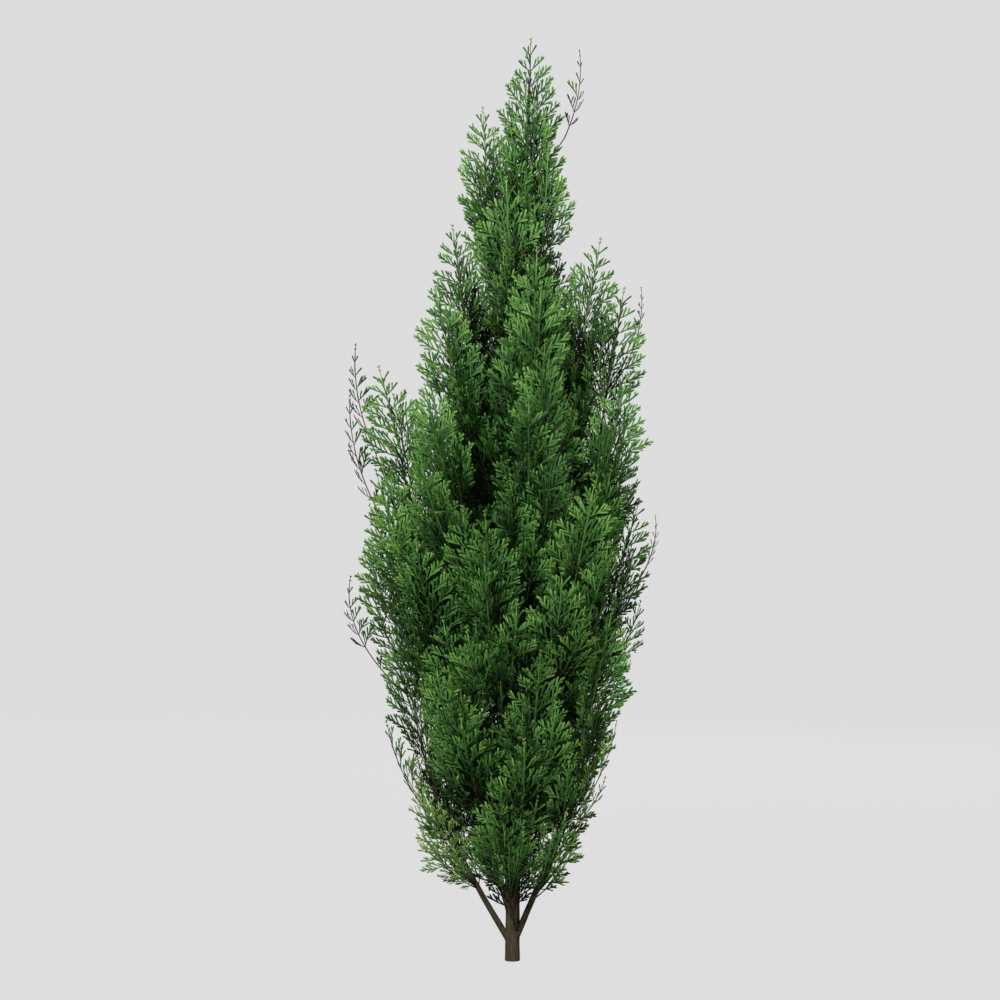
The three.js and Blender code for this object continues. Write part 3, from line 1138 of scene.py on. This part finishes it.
class CYPRESS_OT_stage(bpy.types.Operator):
    """Makes the pale floor and backdrop, the soft lights and the camera"""

    bl_idname = "cypress.stage"
    bl_label = "Stage"

    def execute(self, context):
        stage = context.scene.cypress_stage
        self.bowl(stage)
        self.lights(stage)
        self.camera(context, stage)
        glow = stage.sky
        world = bpy.data.worlds.new("studio")
        world.use_nodes = True
        world.node_tree.nodes["Background"].inputs["Color"].default_value = (glow, glow, glow, 1)
        context.scene.world = world
        context.scene.view_settings.view_transform = "Standard"
        return {"FINISHED"}

    def bowl(self, stage):
        """A floor that sweeps up into a round wall, far enough out for any camera to stand inside."""
        radius, rise, sweep = 11.0, 14.0, 4.0
        bm = bmesh.new()
        profile = [(0.0, 0.0), (radius - sweep, 0.0)]
        profile += [
            (radius - sweep + sweep * math.sin(a), sweep - sweep * math.cos(a))
            for a in np.linspace(0, math.pi / 2, 12)[1:]
        ]
        profile.append((radius, rise))
        verts = [bm.verts.new((x, 0, z)) for x, z in profile]
        edges = [bm.edges.new(pair) for pair in zip(verts, verts[1:])]
        bmesh.ops.spin(
            bm, geom=verts + edges, cent=(0, 0, 0), axis=(0, 0, 1), dvec=(0, 0, 0),
            angle=2 * math.pi, steps=72, use_merge=True, use_normal_flip=False, use_duplicate=False,
        )
        bmesh.ops.remove_doubles(bm, verts=bm.verts, dist=1e-5)
        mesh = smooth_mesh("studio_floor", bm)
        material, nodes, links = new_material("studio_paper")
        shader = nodes["Principled BSDF"]
        shader.inputs["Base Color"].default_value = (0.012, 0.012, 0.012, 1)
        shader.inputs["Roughness"].default_value = 1.0
        shader.inputs["Specular IOR Level"].default_value = 0.0
        shader.inputs["Emission Color"].default_value = (1, 1, 1, 1)
        seen = nodes.new("ShaderNodeLightPath")
        glow = nodes.new("ShaderNodeMapRange")
        glow.inputs["To Min"].default_value = stage.ambient
        glow.inputs["To Max"].default_value = stage.backdrop
        links.new(seen.outputs["Is Camera Ray"], glow.inputs["Value"])
        links.new(glow.outputs["Result"], shader.inputs["Emission Strength"])
        mesh.materials.append(material)
        floor = add_object("studio_floor", mesh)

    def lights(self, stage):
        """A soft light from the upper left of the front, a weak one from the right and one from behind."""
        middle = Vector((0, 0, 1.0))
        for name, place, size, power in (
            ("key", (-1.7, -4.2, 3.6), 1.6, stage.key),
            ("fill", (3.2, -3.0, 1.6), 2.5, 0.18 * stage.key),
            ("back", (1.2, 4.6, 2.6), 3.0, 0.7 * stage.key),
        ):
            data = bpy.data.lights.new(name, "AREA")
            data.shape = "DISK"
            data.size = size
            data.energy = power
            light = add_object(name, data)
            light.location = place
            light.rotation_euler = (middle - Vector(place)).to_track_quat("-Z", "Y").to_euler()

    def camera(self, context, stage):
        data = bpy.data.cameras.new("camera")
        data.lens = stage.lens
        data.sensor_width = 36.0
        data.clip_start, data.clip_end = 0.1, 100.0
        camera = add_object("camera", data)
        camera.location = (stage.aside, -stage.distance, stage.height)
        camera.rotation_euler = (math.pi / 2, 0, 0)
        context.scene.camera = camera


class CYPRESS_PT_panel(bpy.types.Panel):
    """Lists the tree's parts and their settings"""

    bl_idname = "CYPRESS_PT_panel"
    bl_label = "Cypress"
    bl_space_type = "VIEW_3D"
    bl_region_type = "UI"
    bl_category = "Cypress"

    def draw(self, context):
        layout = self.layout
        for operator in OPERATORS:
            layout.operator(operator.bl_idname)
        for name in SETTINGS:
            settings = getattr(context.scene, name)
            box = layout.box()
            for setting in settings.__annotations__:
                box.prop(settings, setting)


OPERATORS = (CYPRESS_OT_trunk, CYPRESS_OT_boughs, CYPRESS_OT_limbs, CYPRESS_OT_foliage, CYPRESS_OT_stage)
CLASSES = (*SETTINGS.values(), *OPERATORS, CYPRESS_PT_panel)


def register():
    for cls in CLASSES:
        bpy.utils.register_class(cls)
    for name, group in SETTINGS.items():
        setattr(bpy.types.Scene, name, bpy.props.PointerProperty(type=group))


def unregister():
    for name in SETTINGS:
        delattr(bpy.types.Scene, name)
    for cls in reversed(CLASSES):
        bpy.utils.unregister_class(cls)


def main():
    register()
    bpy.ops.cypress.trunk()
    bpy.ops.cypress.boughs()
    bpy.ops.cypress.limbs()
    bpy.ops.cypress.foliage()
    bpy.ops.cypress.stage()


if __name__ == "__main__":
    main()
